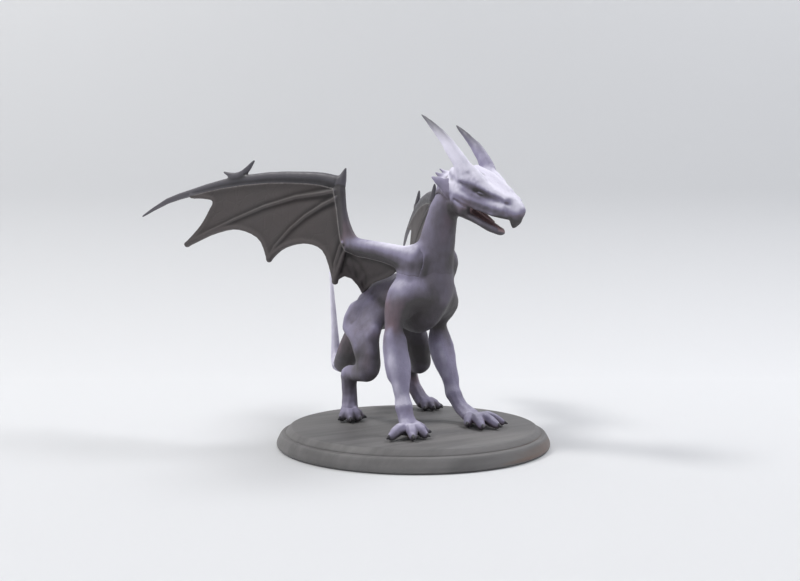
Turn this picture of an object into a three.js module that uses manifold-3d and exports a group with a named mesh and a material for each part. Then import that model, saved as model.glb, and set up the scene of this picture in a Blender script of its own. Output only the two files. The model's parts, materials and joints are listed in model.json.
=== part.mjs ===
// A painted dragon miniature on a round display base, as a multi-part cast kit: millimetres, +Z up. The
// dragon faces -Y, and the origin is the centre of the base's underside. Body, neck, head, legs, paws,
// tail and wing parts are separate castings, glued with thin gaps over brass pins. Each wing is a push fit
// on a moulded tenon, and pulls off outwards and upwards for boxing.
import * as THREE from "three";
import { mergeVertices } from "three/addons/utils/BufferGeometryUtils.js";
import Module from "manifold-3d";

const wasm = await Module();
wasm.setup();

// Driving dimensions
const BASE_RADIUS = 37.5;
const LEDGE = { height: 3.6, radius: 35.9 };
const PLATE = { radius: 35.2, topRadius: 33.9, top: 5.2 };
const WASHER = { inner: 6, outer: 18, thickness: 1.6, floor: 1.4 };
const GAP = 0.3; // glue gap between castings
const SOLE_GAP = 0.1; // glue gap under flat faces
const PIN_RADIUS = 0.5;
const MEMBRANE_THICKNESS = 0.9;
const TENON = { width: 2.4, height: 3, depth: 5.2 };
const CAP_RINGS = 2; // rings that round off each end of a tube

const COLOURS = {
  hide: ["#8d86a4", 0.6, 0],
  horn: ["#b9b3cf", 0.45, 0],
  claw: ["#4a484c", 0.45, 0],
  membrane: ["#4b4545", 0.7, 0],
  mouth: ["#7c5a60", 0.5, 0],
  base: ["#77767a", 0.8, 0],
  brass: ["#b79b52", 0.3, 1],
  steel: ["#9a9da1", 0.35, 1],
};

const model = new THREE.Group();
const vector = (point) => new THREE.Vector3(...point);

// --- Solids --------------------------------------------------------------------------------------

function solidOf(geometry) {
  geometry.deleteAttribute("normal");
  geometry.deleteAttribute("uv");
  const merged = mergeVertices(geometry, 1e-4);
  return new wasm.Manifold(
    new wasm.Mesh({
      numProp: 3,
      vertProperties: merged.attributes.position.array,
      triVerts: new Uint32Array(merged.index.array),
    }),
  );
}

function geometryOf(solid) {
  const mesh = solid.getMesh();
  const geometry = new THREE.BufferGeometry();
  geometry.setAttribute("position", new THREE.BufferAttribute(mesh.vertProperties, mesh.numProp));
  geometry.setIndex(new THREE.BufferAttribute(mesh.triVerts, 1));
  geometry.computeVertexNormals();
  return geometry;
}

function addPart(name, solid, colour) {
  const [color, roughness, metalness] = COLOURS[colour];
  const material = new THREE.MeshStandardMaterial({ color, roughness, metalness });
  const mesh = new THREE.Mesh(geometryOf(solid), material);
  mesh.name = name;
  model.add(mesh);
}

const union = (...solids) => solids.reduce((sum, solid) => sum.add(solid));
const cut = (solid, ...cutters) => cutters.reduce((left, cutter) => left.subtract(cutter), solid);
const largest = (solid) => solid.decompose().sort((a, b) => b.volume() - a.volume())[0];

// A closed tube through stations [x, y, z, half width, half height], with round ends.
// The half width lies along `across`, and `grow` swells the tube by that much all over.
// `keel` is the share by which the underside narrows.
function tube(stations, { sides = 10, steps = 3, across = [1, 0, 0], grow = 0, keel = 0 } = {}) {
  const path = new THREE.CatmullRomCurve3(stations.map(([x, y, z]) => new THREE.Vector3(x, y, z)));
  const girth = new THREE.CatmullRomCurve3(stations.map(([, , , w, h = w]) => new THREE.Vector3(w, h, 0)));
  const spans = (stations.length - 1) * steps;
  const rings = spans + 2 * CAP_RINGS;
  const skin = new THREE.SphereGeometry(1, sides, rings);
  const position = skin.attributes.position;
  for (let i = 0; i < position.count; i++) {
    const ring = Math.floor(i / (sides + 1));
    const turn = ((i % (sides + 1)) / sides) * 2 * Math.PI;
    const t = THREE.MathUtils.clamp((ring - CAP_RINGS) / spans, 0, 1);
    const fromEnd = Math.min(ring, rings - ring);
    const capAngle = Math.min(fromEnd / CAP_RINGS, 1) * (Math.PI / 2);
    const tangent = path.getTangent(t);
    const side = vector(across).addScaledVector(tangent, -vector(across).dot(tangent)).normalize();
    const up = side.clone().cross(tangent);
    const size = girth.getPoint(t).addScalar(grow);
    const taper = 1 - keel * Math.max(0, -up.z * Math.sin(turn));
    const capReach = Math.cos(capAngle) * Math.min(size.x, size.y) * (ring < rings / 2 ? -1 : 1);
    const point = path
      .getPoint(t)
      .addScaledVector(tangent, capReach)
      .addScaledVector(side, size.x * taper * Math.sin(capAngle) * Math.cos(turn))
      .addScaledVector(up, size.y * Math.sin(capAngle) * Math.sin(turn));
    position.setXYZ(i, point.x, point.y, point.z);
  }
  return solidOf(skin);
}

const PLUS_Y = new THREE.Vector3(0, 1, 0);
// The turn that takes +Y onto `direction`.
const turnTo = (direction) => new THREE.Quaternion().setFromUnitVectors(PLUS_Y, direction);

function block(size, centre, direction = [0, 1, 0]) {
  const geometry = new THREE.BoxGeometry(...size).applyQuaternion(turnTo(vector(direction).normalize()));
  return solidOf(geometry.translate(...centre));
}

function rod(start, end, radius, sides = 12) {
  const along = vector(end).sub(vector(start));
  const geometry = new THREE.CylinderGeometry(radius, radius, along.length(), sides);
  geometry.applyQuaternion(turnTo(along.clone().normalize()));
  const middle = vector(start).addScaledVector(along, 0.5);
  return solidOf(geometry.translate(middle.x, middle.y, middle.z));
}

function turned(profile, segments = 48) {
  const points = profile.map(([radius, z]) => new THREE.Vector2(radius, z));
  return solidOf(new THREE.LatheGeometry(points, segments).rotateX(Math.PI / 2));
}

// A thin curved sheet over surface(u, v), 0 to 1 each way.
function sheet(surface, columns, rows) {
  const geometry = new THREE.BoxGeometry(1, 1, 1, columns, rows, 1);
  const position = geometry.attributes.position;
  const step = 0.01;
  for (let i = 0; i < position.count; i++) {
    const u = position.getX(i) + 0.5;
    const v = position.getY(i) + 0.5;
    const alongU = surface(u + step, v).sub(surface(u - step, v));
    const alongV = surface(u, v + step).sub(surface(u, v - step));
    const normal = alongU.cross(alongV).normalize();
    const point = surface(u, v).addScaledVector(normal, position.getZ(i) * MEMBRANE_THICKNESS);
    position.setXYZ(i, point.x, point.y, point.z);
  }
  return solidOf(geometry);
}

// --- Base ----------------------------------------------------------------------------------------

const plinth = () =>
  turned([
    [0, 0],
    [BASE_RADIUS - 0.6, 0],
    [BASE_RADIUS - 0.1, 0.4],
    [BASE_RADIUS, 1],
    [BASE_RADIUS - 0.25, 1.9],
    [BASE_RADIUS - 0.8, 2.8],
    [LEDGE.radius + 0.3, LEDGE.height - 0.15],
    [LEDGE.radius, LEDGE.height],
    [WASHER.outer + GAP, LEDGE.height],
    [WASHER.outer + GAP, WASHER.floor],
    [0, WASHER.floor],
  ]);

const plate = () =>
  turned([
    [0, LEDGE.height + SOLE_GAP],
    [PLATE.radius, LEDGE.height + SOLE_GAP],
    [PLATE.radius - 0.35, LEDGE.height + 0.5],
    [PLATE.topRadius + 0.3, PLATE.top - 0.3],
    [PLATE.topRadius - 0.2, PLATE.top],
    [0, PLATE.top],
  ]);

function washer() {
  const bottom = WASHER.floor + SOLE_GAP;
  const top = bottom + WASHER.thickness;
  return turned(
    [
      [WASHER.inner, bottom],
      [WASHER.outer, bottom],
      [WASHER.outer, top],
      [WASHER.inner, top],
      [WASHER.inner, bottom],
    ],
    32,
  );
}

// --- Body, neck and tail -------------------------------------------------------------------------

const TORSO = [
  [0, 23.5, 35.8, 3.8, 4.2],
  [0, 19, 37.4, 6, 6.4],
  [0, 12, 39, 7.4, 7.6],
  [0, 4, 39.6, 6.9, 7.9],
  [0, -2.4, 39.5, 7.3, 9.6],
  [0, -7.4, 41.4, 7.1, 8.8],
  [0, -10.8, 42.4, 5.2, 7],
];
const NECK = [
  [0, -7, 44, 5.6, 6.6],
  [0, -9.8, 50, 4.9, 5.4],
  [0, -11.5, 55.4, 4.6, 4.8],
  [0.3, -13, 61.4, 3.9, 4.1],
  [0.8, -15, 66, 3.5, 3.8],
  [1.6, -18, 68.4, 3, 3.4],
];
const TAIL_BASE = [
  [0, 19, 37, 4.8, 5],
  [0, 25.5, 32.6, 4.7, 4.9],
  [0, 32, 26.6, 4.4, 4.5],
  [0, 36.4, 22, 4, 4.1],
  [0.2, 39.4, 19.6, 3.6, 3.7],
];
const TAIL_TIP = [
  [0.3, 40.8, 18.7, 2.9],
  [0.8, 44.4, 18.5, 2.6],
  [1.4, 47.4, 21.2, 1.9],
  [1.8, 48.8, 26, 1.4],
  [2.2, 50.6, 34, 1.05],
  [2.5, 52.5, 42, 0.85],
  [2.8, 54, 48, 0.6],
  [3, 56.2, 51, 0.25],
];

const KEEL = 0.5;   // how much the chest and belly narrow below
const torsoTube = (grow = 0) => tube(TORSO, { sides: 18, steps: 2, grow, keel: KEEL });
const neckTube = (grow = 0) => tube(NECK, { sides: 14, steps: 2, grow });
const tailBaseTube = (grow = 0) => tube(TAIL_BASE, { sides: 12, steps: 2, grow });

// --- Head ----------------------------------------------------------------------------------------

// The head is laid out from the back of the skull as [forward, left, up], then turned and
// tipped into place.
const HEAD = { back: [0.9, -13.4, 71.4], turn: 12, dip: 25 };
const headFrame = new THREE.Matrix4()
  .makeTranslation(...HEAD.back)
  .multiply(new THREE.Matrix4().makeRotationZ(THREE.MathUtils.degToRad(HEAD.turn - 90)))
  .multiply(new THREE.Matrix4().makeRotationY(THREE.MathUtils.degToRad(HEAD.dip)));
const headPoint = (forward, left, up) => vector([forward, left, up]).applyMatrix4(headFrame).toArray();
const headLeft = vector(headPoint(0, 1, 0)).sub(vector(headPoint(0, 0, 0))).toArray();
const inHead = (stations) => stations.map(([f, l, u, ...size]) => [...headPoint(f, l, u), ...size]);
const sided = (stations, side) => stations.map(([f, l, ...rest]) => [f, side * l, ...rest]);

const SKULL = [
  [2.2, 0, -1.2, 3.3, 3.5],
  [6, 0, 0.4, 5, 4.7],
  [10, 0, 1.3, 5.8, 5],
  [14, 0, 1.4, 5.2, 4.6],
  [18, 0, 1.2, 4.1, 3.9],
  [21.8, 0, 0.8, 3.1, 3.3],
  [25.2, 0, 0.1, 2.3, 2.5],
];
const BROW = [
  [9.6, 4.6, 4.6, 1.2],
  [12.4, 4.7, 5.3, 1.4],
  [14.6, 4.5, 4.6, 1.3],
  [16.8, 4, 3.1, 1.1],
  [20, 3, 2.2, 0.7],
];
const BEAK_HOOK = [
  [24.8, 0, -0.7, 2, 2],
  [26, 0, -2.3, 1.5, 1.6],
  [25.8, 0, -4.2, 0.4, 0.5],
];
const JAW = [
  [7.6, 0, -4.8, 3.4, 2.3],
  [11.6, 0, -5.1, 3.9, 1.7],
  [16, 0, -5.6, 3.4, 1.25],
  [20, 0, -6.1, 2.7, 1.1],
  [22.8, 0, -6.1, 1.7, 0.95],
];
const TONGUE = [
  [12.5, 0, -3.4, 1.7, 0.6],
  [16.5, 0, -4, 1.5, 0.55],
  [20.2, 0, -4.7, 1, 0.4],
];
const HORN = [
  [10.5, 4.3, 4, 1.6, 1.9],
  [8.6, 5.7, 6.2, 1.65, 2],
  [6, 6.2, 7.8, 1.55, 1.85],
  [3.2, 6.5, 9.5, 1.35, 1.65],
  [0.6, 6.65, 10.8, 1.1, 1.35],
  [-3.4, 6.8, 12.4, 0.75, 0.95],
  [-9.35, 7.1, 14.45, 0.22],
];
const FRILL = [
  [6.5, 4.2, -0.6, 1.1, 2],
  [3.5, 5.5, -0.2, 0.8, 1.3],
  [0.6, 6.5, 0.4, 0.3, 0.4],
];

const headTube = (stations, options) => tube(inHead(stations), { across: headLeft, ...options });
const skullSolid = (grow = 0) =>
  union(
    headTube(SKULL, { sides: 14, steps: 2, grow }),
    headTube(BEAK_HOOK, { sides: 8, steps: 1, grow }),
    ...[-1, 1].map((side) => headTube(sided(BROW, side), { sides: 8, steps: 1, grow })),
  );
const jawTube = (grow = 0) => headTube(JAW, { sides: 10, steps: 1, grow });

// --- Legs ----------------------------------------------------------------------------------------

// Each leg has its limb's tubes, the instep that carries the paw, and its claws' tips on the ground.
const LEGS = {
  foreleg_right: {
    limb: [
      [
        [-4.6, -8, 42.6, 3.4, 5.4],
        [-8.2, -6.6, 40.6, 3.4, 5.2],
        [-10.2, -6.4, 35.6, 2.7, 3.8],
        [-11.1, -6.9, 31, 2.15, 2.6],
        [-11.4, -8, 27.4, 2.8, 3],
        [-11.6, -9.4, 23.6, 3.05, 3.1],
        [-11.8, -10.6, 20, 2.6, 2.7],
        [-11.9, -11.6, 16.6, 2, 2.1],
        [-12, -13, 12.6, 2, 2.05],
      ],
    ],
    instep: [
      [-12, -13.1, 12, 1.95, 2],
      [-12, -14.3, 9.2, 2.2, 2],
      [-12.2, -16, 7.2, 3, 1.8],
    ],
    paw: "fore_paw_right",
    claws: [
      [-21.8, -19.1],
      [-16, -23.4],
      [-10.2, -23.2],
      [-6.1, -18.6],
    ],
  },
  foreleg_left: {
    limb: [
      [
        [4.6, -6.6, 42.6, 3.4, 5.4],
        [8.2, -4.4, 40, 3.4, 5.2],
        [9.3, -0.6, 35.4, 2.5, 3.3],
        [10, 1.2, 32.6, 1.95, 2.4],
        [10.4, 2, 29.4, 2.7, 3],
        [10.8, 1.4, 25.6, 3.4, 3.5],
        [11.3, 0.2, 21.4, 3, 3.1],
        [11.8, -1.6, 17, 2.15, 2.2],
        [12, -3, 13, 2.05, 2.1],
      ],
    ],
    instep: [
      [12, -3.2, 12.4, 2, 2],
      [12.2, -6.4, 9.2, 2.2, 2],
      [12.4, -10.4, 7.4, 3, 1.9],
    ],
    paw: "fore_paw_left",
    claws: [
      [5.8, -16.3],
      [7.4, -22],
      [12.4, -23.6],
      [18, -20.4],
    ],
  },
  hind_leg_right: {
    limb: [
      [
        [-4, 16, 37.6, 4, 6],
        [-8.4, 12.4, 33.4, 4.1, 6.4],
        [-11.1, 6.8, 26.8, 3.4, 4.5],
        [-12.2, 3.4, 20.8, 3.2, 3.6],
      ],
      [
        [-12.2, 4.2, 19.8, 2.9, 3],
        [-12, 10, 18.8, 2.2, 2.3],
        [-11.2, 16.2, 18.5, 2.2, 2.3],
      ],
    ],
    instep: [
      [-11.2, 16.8, 17.4, 2.2, 2.4],
      [-11, 16.4, 12, 2.2, 2.3],
      [-11.6, 15.2, 8.8, 2.5, 2.1],
      [-12.6, 13.6, 7, 3.1, 1.8],
    ],
    paw: "hind_paw_right",
    claws: [
      [-18.6, 10.6],
      [-16, 7],
      [-11.8, 6.8],
      [-8.2, 9.6],
    ],
  },
  hind_leg_left: {
    limb: [
      [
        [4, 17, 37.6, 4, 6],
        [8.4, 16.4, 33.4, 4.1, 6.4],
        [11.4, 15, 26.8, 3.4, 4.6],
        [13, 14.2, 20.6, 3.2, 3.6],
      ],
      [
        [13, 14.6, 19.8, 2.9, 3],
        [14.2, 19.6, 19, 2.2, 2.3],
        [15.6, 24.4, 18.5, 2.2, 2.3],
      ],
    ],
    instep: [
      [15.8, 24.8, 17.4, 2.2, 2.4],
      [16.4, 22.8, 12, 2.2, 2.3],
      [17, 20.4, 8.8, 2.5, 2.1],
      [17.4, 18.2, 7, 3.1, 1.8],
    ],
    paw: "hind_paw_left",
    claws: [
      [13.4, 12.6],
      [16.6, 10.8],
      [20.6, 11.6],
      [23.2, 14.8],
    ],
  },
};
const TOE = { root: 1.6, tip: 1.15, knuckle: 7.7, claw: 2.8 };

const legSolid = (leg) => union(...leg.limb.map((stations) => tube(stations, { sides: 11, steps: 2 })));
const heelOf = (leg) => leg.instep[leg.instep.length - 1];
const instepTube = (leg, grow = 0) => tube(leg.instep, { sides: 9, steps: 1, grow });

// A toe runs over a knuckle, and its curved claw comes down to the ground.
function toe([heelX, heelY], [clawX, clawY]) {
  const reach = new THREE.Vector2(clawX - heelX, clawY - heelY);
  const at = (share, z) => [heelX + reach.x * share, heelY + reach.y * share, z];
  const end = 1 - TOE.claw / reach.length();
  const pad = PLATE.top + TOE.tip;
  const across = [reach.y, -reach.x, 0];
  const digit = [
    [...at(0.1, 7), TOE.root],
    [...at(0.55 * end, TOE.knuckle), TOE.root],
    [...at(0.8 * end, 7.1), TOE.root * 0.92],
    [...at(end, pad), TOE.tip],
  ];
  const claw = [
    [...at(end, pad + 0.4), 0.8, 0.85],
    [...at((1 + end) / 2, pad), 0.55, 0.65],
    [...at(1, PLATE.top + 0.35), 0.15],
  ];
  return union(tube(digit, { sides: 6, steps: 1, across }), tube(claw, { sides: 4, steps: 1, across }));
}

function paw(leg) {
  const heel = heelOf(leg);
  const ground = block([60, 60, 10], [heel[0], heel[1], PLATE.top + SOLE_GAP - 5]);
  return cut(union(instepTube(leg), ...leg.claws.map((tip) => toe(heel, tip))), ground);
}

// --- Wings ---------------------------------------------------------------------------------------

// Each wing lies in an upright plane through its shoulder, swept back. Its stations are
// [span, height, half width, half height], and `side` is -1 for the dragon's right wing and 1 for its left.
// The left wing is carried a little lower, so its height falls off along the span.
const WING = { shoulder: [6, -8], sweep: 62.5, leftDroop: 0.06 };
const sweep = THREE.MathUtils.degToRad(WING.sweep);
const wingDroop = (side) => (side > 0 ? WING.leftDroop : 0);
const wingAlong = (side) => [side * Math.cos(sweep), Math.sin(sweep), -wingDroop(side)];
const wingNormal = (side) => vector(wingAlong(side)).cross(new THREE.Vector3(0, 0, 1)).toArray();
const wingPoint = (side, span, height) => [
  side * (WING.shoulder[0] + Math.cos(sweep) * span),
  WING.shoulder[1] + Math.sin(sweep) * span,
  height - wingDroop(side) * span,
];
const inWing = (side, stations) =>
  stations.map(([span, height, ...size]) => [...wingPoint(side, span, height), ...size]);
const wingTube = (side, stations, options) =>
  tube(inWing(side, stations), { across: wingNormal(side), ...options });

const ARM = [
  [-1, 49.6, 3, 3.6],
  [4, 51.4, 2.6, 3],
  [8.7, 52.8, 2.3, 2.6],
  [14.3, 54, 2.2, 2.4],
  [18.7, 55.3, 2.2, 2.4],
  [20.6, 59.2, 1.6, 1.75],
  [21.9, 65.1, 1.15, 1.3],
  [22.8, 71.2, 1.4, 1.7],
];
const LEADING_FINGER = [
  [24.2, 73.2, 1.3, 1.9],
  [28.8, 74.5, 1.25, 1.85],
  [36, 75.6, 1.2, 1.75],
  [48.6, 76.7, 1.1, 1.7],
  [66.6, 76.4, 0.95, 1.5],
  [80.2, 74.7, 0.8, 1.2],
  [91.6, 72.8, 0.65, 0.95],
  [103.6, 68.4, 0.32],
];
const SECOND_FINGER = [
  [23.6, 70.4, 1],
  [38, 69.8, 0.9],
  [50, 67.8, 0.8],
  [62, 64.6, 0.75],
  [72, 61.6, 0.65],
  [82.4, 58, 0.3],
];
const THIRD_FINGER = [
  [23, 68.6, 1],
  [28.3, 66.8, 0.9],
  [34.6, 63.9, 0.85],
  [40, 60.5, 0.8],
  [45.7, 55.7, 0.7],
  [48.4, 52, 0.3],
];
const ELBOW_SPUR = [
  [19.5, 57.4, 1],
  [22.2, 54.6, 0.9],
  [24, 50, 0.8],
  [24.5, 45, 0.35],
];
// The membrane's free edge, out along the leading finger and back from finger to finger.
const FREE_EDGE = [
  [
    [85.3, 74],
    [75, 72.8],
    [70.7, 71.2],
    [72.1, 67.9],
    [76, 63.1],
    [82.4, 58],
  ],
  [
    [82.4, 58],
    [72.9, 60.8],
    [61.7, 62.2],
    [52, 58.7],
    [48.4, 52],
  ],
  [
    [48.4, 52],
    [43, 55.5],
    [35, 56.6],
    [28, 53.8],
    [24.5, 45],
  ],
];
// Where the inner web meets the flank, as [x, y, z] on the left side.
const FLANK_LINE = [
  [6.6, -5.4, 49.6],
  [6.4, 2, 46.8],
  [6.8, 10, 45.2],
  [6.8, 16.4, 42.6],
];
const THUMB_CLAW = [
  [23.2, 71.2, 1.2, 1.7],
  [22.2, 73.8, 0.95, 1.3],
  [21, 76.8, 0.2],
];
const KNUCKLE_CLAW = [
  [66.6, 80, 0.25],
  [62.3, 78.5, 0.8, 0.9],
  [58.6, 79, 0.9, 1],
  [54.5, 82.4, 0.25],
];
const PULL = [0.8, 0, 0.6]; // the way the left wing comes off
const TENON_SEAT = [6.4, -7.6, 48.8];

const armTube = (side, grow = 0) => wingTube(side, ARM, { sides: 10, steps: 2, grow });
const leadingTube = (side, grow = 0) => wingTube(side, LEADING_FINGER, { sides: 8, steps: 2, grow });

function mainWeb(side) {
  const outline = new THREE.Shape();
  outline.moveTo(21.6, 66);
  outline.lineTo(24.4, 73);
  outline.splineThru(LEADING_FINGER.slice(1, 6).map(([span, height]) => new THREE.Vector2(span, height)));
  outline.lineTo(...FREE_EDGE[0][0]);
  for (const scallop of FREE_EDGE) {
    outline.splineThru(scallop.slice(1).map(([span, height]) => new THREE.Vector2(span, height)));
  }
  outline.lineTo(19.6, 57);
  const options = { depth: MEMBRANE_THICKNESS, bevelEnabled: false, curveSegments: 3 };
  const geometry = new THREE.ExtrudeGeometry(outline, options).translate(0, 0, -MEMBRANE_THICKNESS / 2);
  const frame = new THREE.Matrix4().makeBasis(
    vector(wingAlong(side)),
    new THREE.Vector3(0, 0, 1),
    vector(wingNormal(side)),
  );
  frame.setPosition(...wingPoint(side, 0, 0));
  return solidOf(geometry.applyMatrix4(frame));
}

// The inner web fills the corner between the arm, the elbow's spur and the flank.
function innerWeb(side) {
  const curve = (points) => new THREE.CatmullRomCurve3(points.map((point) => vector(point)));
  const outer = curve(inWing(side, [...ARM.slice(0, 4), ...ELBOW_SPUR.slice(1)]));
  const flank = curve(FLANK_LINE.map(([x, y, z]) => [side * x, y, z]));
  const edgeDip = 0.12;
  const surface = (u, v) => {
    const t = u * (1 - edgeDip * Math.sin(Math.PI * v));
    return outer.getPoint(t).lerp(flank.getPoint(t), v);
  };
  return sheet((u, v) => surface(0.03 + 0.95 * u, v), 7, 4);
}

function membrane(side) {
  const fingers = [SECOND_FINGER, THIRD_FINGER, ELBOW_SPUR];
  const ribs = fingers.map((finger) => wingTube(side, finger, { sides: 6, steps: 1 }));
  return union(mainWeb(side), innerWeb(side), ...ribs);
}

function tenon(side, grow = 0) {
  const out = [side * PULL[0], PULL[1], PULL[2]];
  const seat = vector([side * TENON_SEAT[0], TENON_SEAT[1], TENON_SEAT[2]]);
  const middle = seat.addScaledVector(vector(out), -TENON.depth / 2 + 1);
  const size = [TENON.width, TENON.depth + 2, TENON.height].map((length) => length + 2 * grow);
  return block(size, middle.toArray(), out);
}

// --- Assembly ------------------------------------------------------------------------------------

const SIDES = { right: -1, left: 1 };
const PINS = {
  neck_pin: [
    [0, -8.4, 44],
    [0, -10.4, 53],
  ],
  head_pin: [
    [0.4, -12.2, 62],
    [1.2, -14.2, 69],
  ],
  tail_root_pin: [
    [0, 17.5, 38],
    [0, 27, 31.2],
  ],
  tail_tip_pin: [
    [0.1, 38.4, 20],
    [0.9, 45.4, 18.9],
  ],
};
const sockets = [];
for (const [name, [start, end]] of Object.entries(PINS)) {
  addPart(name, rod(start, end, PIN_RADIUS), "brass");
  const ease = vector(end).sub(vector(start)).setLength(GAP);
  const [from, to] = [vector(start).sub(ease), vector(end).add(ease)];
  sockets.push(rod(from.toArray(), to.toArray(), PIN_RADIUS + GAP));
}

const torsoCutters = [-1, 1].map((side) => tenon(side, GAP));
addPart("torso", cut(torsoTube(), ...torsoCutters, ...sockets), "hide");
const neckCutters = [torsoTube(GAP), ...torsoCutters, skullSolid(GAP), jawTube(GAP), ...sockets];
addPart("neck", cut(neckTube(), ...neckCutters), "hide");
addPart("skull", cut(skullSolid(), ...sockets), "hide");
addPart("lower_jaw", largest(cut(jawTube(), skullSolid(GAP))), "hide");
const tongue = headTube(TONGUE, { sides: 8, steps: 1 });
addPart("tongue", largest(cut(tongue, jawTube(GAP), skullSolid(GAP))), "mouth");
addPart("tail_base", largest(cut(tailBaseTube(), torsoTube(GAP), ...sockets)), "hide");
const tailTip = tube(TAIL_TIP, { sides: 8, steps: 2 });
addPart("tail_tip", largest(cut(tailTip, tailBaseTube(GAP), ...sockets)), "hide");

for (const [label, side] of Object.entries(SIDES)) {
  const horn = cut(headTube(sided(HORN, side), { sides: 8, steps: 2 }), skullSolid(GAP));
  const frill = cut(headTube(sided(FRILL, side), { sides: 7, steps: 1 }), skullSolid(GAP), neckTube(GAP));
  addPart(`horn_${label}`, largest(horn), "horn");
  addPart(`cheek_frill_${label}`, largest(cut(frill, jawTube(GAP))), "hide");
}

let standing = plate();
for (const [name, leg] of Object.entries(LEGS)) {
  const [x, y, top] = heelOf(leg);
  const pinBottom = LEDGE.height + 2 * SOLE_GAP;
  const hole = rod([x, y, LEDGE.height], [x, y, top + GAP], PIN_RADIUS + GAP);
  const side = x < 0 ? -1 : 1;
  const neighbours = [torsoTube(GAP), neckTube(GAP), instepTube(leg, GAP), armTube(side, GAP)];
  const limb = cut(legSolid(leg), ...neighbours);
  addPart(name, largest(cut(limb, tailBaseTube(GAP), tenon(side, GAP))), "hide");
  addPart(leg.paw, cut(paw(leg), hole), "hide");
  addPart(`${leg.paw}_pin`, rod([x, y, pinBottom], [x, y, top], PIN_RADIUS), "brass");
  standing = standing.subtract(hole);
}

for (const [label, side] of Object.entries(SIDES)) {
  const body = [torsoTube(GAP), neckTube(GAP)];
  const arm = largest(cut(armTube(side), ...body));
  const leading = cut(leadingTube(side), armTube(side, GAP));
  const skin = cut(membrane(side), armTube(side, GAP), leadingTube(side, GAP), ...body, tenon(side, GAP));
  const claws = [THUMB_CLAW, KNUCKLE_CLAW].map((claw) => wingTube(side, claw, { sides: 7, steps: 2 }));
  const [thumb, knuckle] = claws.map((claw) => cut(claw, armTube(side, GAP), leadingTube(side, GAP)));
  addPart(`wing_arm_${label}`, union(arm, tenon(side)), "hide");
  addPart(`wing_finger_${label}`, largest(leading), "claw");
  addPart(`wing_membrane_${label}`, largest(skin), "membrane");
  addPart(`thumb_claw_${label}`, largest(thumb), "claw");
  addPart(`knuckle_claw_${label}`, largest(knuckle), "claw");
}

addPart("base_plinth", plinth(), "base");
addPart("base_plate", standing, "base");
addPart("ballast_washer", washer(), "steel");

export default model;
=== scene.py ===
"""Looks of the painted dragon miniature: every casting is sculpted from its CAD solid as a distance field.

Lengths inside the sculpting code are millimetres, as in the CAD. Meshes are turned into metres when they
are made.
"""

import json
import math

import bpy
import numpy as np
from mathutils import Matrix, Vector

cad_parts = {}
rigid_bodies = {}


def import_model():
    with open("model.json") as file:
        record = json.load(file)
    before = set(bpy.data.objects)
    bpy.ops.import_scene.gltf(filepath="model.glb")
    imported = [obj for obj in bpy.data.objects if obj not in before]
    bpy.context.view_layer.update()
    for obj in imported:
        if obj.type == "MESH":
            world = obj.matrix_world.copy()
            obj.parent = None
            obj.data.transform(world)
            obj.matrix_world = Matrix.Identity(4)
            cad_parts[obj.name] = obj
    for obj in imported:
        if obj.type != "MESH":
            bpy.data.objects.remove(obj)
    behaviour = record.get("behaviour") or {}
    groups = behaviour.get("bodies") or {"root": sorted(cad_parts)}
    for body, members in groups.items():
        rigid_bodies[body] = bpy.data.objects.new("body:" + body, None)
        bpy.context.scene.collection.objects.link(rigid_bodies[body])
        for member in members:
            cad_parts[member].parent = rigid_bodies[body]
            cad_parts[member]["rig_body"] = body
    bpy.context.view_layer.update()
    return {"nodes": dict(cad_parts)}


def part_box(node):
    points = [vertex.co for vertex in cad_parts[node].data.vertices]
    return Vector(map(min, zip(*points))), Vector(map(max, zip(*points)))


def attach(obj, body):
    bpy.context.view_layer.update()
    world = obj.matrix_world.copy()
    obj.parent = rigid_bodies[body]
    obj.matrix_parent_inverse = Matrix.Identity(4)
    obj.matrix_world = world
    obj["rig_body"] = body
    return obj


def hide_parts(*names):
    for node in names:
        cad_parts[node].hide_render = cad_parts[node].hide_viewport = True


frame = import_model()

import openvdb
from mathutils import Vector

MM = 0.001
GLUED_LAP = 0.45  # how far a glued casting runs on under its neighbour, since paint hides the seam, mm
LOOSE_LAP = 0.2  # the same for the skin round a wing, which is a push fit, mm
LOOSE_GAP = 0.02  # half of the gap between a wing's tenon and its socket, mm
FINE = 1.0

# ------------------------------------------------------------------------------
# Camera, light and floor
# ------------------------------------------------------------------------------


def make_camera():
    data = bpy.data.cameras.new("camera")
    data.lens, data.sensor_width = 30, 36
    camera = bpy.data.objects.new("camera", data)
    camera.location = (-0.1079, -0.1535, 0.038)
    azimuth, pitch = math.radians(-34), math.radians(1.3)
    camera.rotation_euler = (math.radians(90) + pitch, 0, azimuth)
    data.clip_start, data.clip_end = 0.01, 20
    bpy.context.scene.collection.objects.link(camera)
    bpy.context.scene.camera = camera


def area_light(name, place, target, size, power, colour=(1, 1, 1)):
    data = bpy.data.lights.new(name, "AREA")
    data.shape, data.size, data.energy, data.color = "DISK", size, power, colour
    light = bpy.data.objects.new(name, data)
    light.location = place
    aim = Vector(target) - Vector(place)
    light.rotation_euler = aim.to_track_quat("-Z", "Y").to_euler()
    bpy.context.scene.collection.objects.link(light)


def make_studio():
    world = bpy.data.worlds.new("studio")
    world.use_nodes = True
    background = world.node_tree.nodes["Background"]
    background.inputs["Color"].default_value = (0.93, 0.95, 1, 1)
    background.inputs["Strength"].default_value = 0.47
    bpy.context.scene.world = world
    bpy.context.scene.view_settings.view_transform = "Standard"
    centre = (0, 0.01, 0.05)
    area_light("key", (-0.45, 0.26, 0.75), centre, 0.22, 3.5, (1, 0.985, 0.97))
    area_light("rim", (0.45, -0.12, 0.68), centre, 0.26, 2.5, (0.97, 0.97, 1))


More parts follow.
